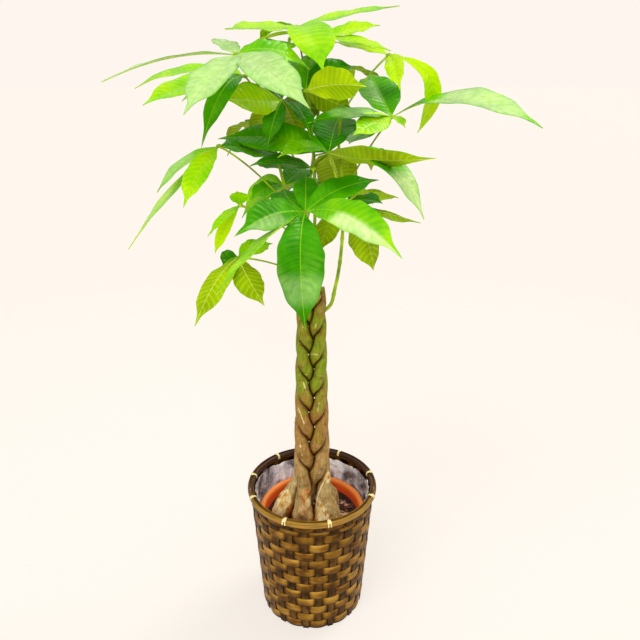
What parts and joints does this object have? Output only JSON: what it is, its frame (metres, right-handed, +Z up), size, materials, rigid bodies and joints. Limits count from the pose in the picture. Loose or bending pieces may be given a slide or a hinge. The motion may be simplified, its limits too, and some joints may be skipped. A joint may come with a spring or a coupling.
{
  "type": "potted money tree",
  "caption": "House plant with braided woody stems and glossy palmate leaves, in a plastic nursery pot that stands in a lined woven bamboo basket.",
  "frame": {"origin": "centre of the basket's underside, which is the surface that the plant stands on", "axes": "+Z up along the braided stems, -Y towards the picture's viewer, +X to the viewer's right"},
  "size_m": [0.617, 0.607, 1.1559],
  "materials": {
    "weft_strip": "lacquered split bamboo, plain weave, tan weft over dark stakes",
    "hoop_bamboo": "olive-tan half-round bamboo with a satin lacquer",
    "dark_bamboo": "dark brown stained bamboo, satin",
    "cane_tie": "pale split cane, smooth",
    "liner_film": "clear crinkled film, glossy",
    "pot_plastic": "moulded orange plastic, satin",
    "potting_soil": "dark potting soil with reddish bark chips, matt and rough",
    "bark": "olive-brown bark with tan scars, matt",
    "green_shoot": "smooth green stem skin, satin",
    "leaf": "waxy glossy leaf with pale midribs",
    "young_leaf": "soft yellow-green young leaf, satin"
  },
  "bodies": {
    "root": {"basket_wall": "weft_strip", "rim_outer_hoop": "hoop_bamboo", "rim_inner_hoop": "dark_bamboo", "rim_tie_1": "cane_tie", "rim_tie_2": "cane_tie", "rim_tie_3": "cane_tie", "rim_tie_4": "cane_tie", "rim_tie_5": "cane_tie", "rim_tie_6": "cane_tie", "rim_tie_7": "cane_tie", "rim_tie_8": "cane_tie", "rim_tie_9": "cane_tie", "basket_base": "dark_bamboo", "liner": "liner_film", "nursery_pot": "pot_plastic", "stem_left": "bark", "stem_middle": "bark", "stem_right": "bark", "stem_back_left": "bark", "stem_back_right": "bark", "soil": "potting_soil", "shoot_right": "green_shoot", "shoot_middle": "green_shoot", "shoot_left": "green_shoot", "shoot_front": "green_shoot", "shoot_back": "green_shoot", "leaf_front_low": "leaf", "leaf_centre": "leaf", "leaf_right": "leaf", "leaf_right_young": "young_leaf", "leaf_top": "leaf", "leaf_top_right": "leaf", "leaf_left_high": "leaf", "leaf_left": "leaf", "leaf_left_low": "leaf", "leaf_left_young": "young_leaf", "leaf_inner_left": "leaf", "leaf_left_behind": "leaf", "leaf_inner_high": "leaf", "leaf_centre_high": "leaf", "leaf_right_low": "leaf", "leaf_inner": "leaf", "leaf_back_high": "leaf", "leaf_back_left": "leaf", "leaf_back_right": "leaf", "leaf_back_low": "leaf"}
  },
  "joints": []
}
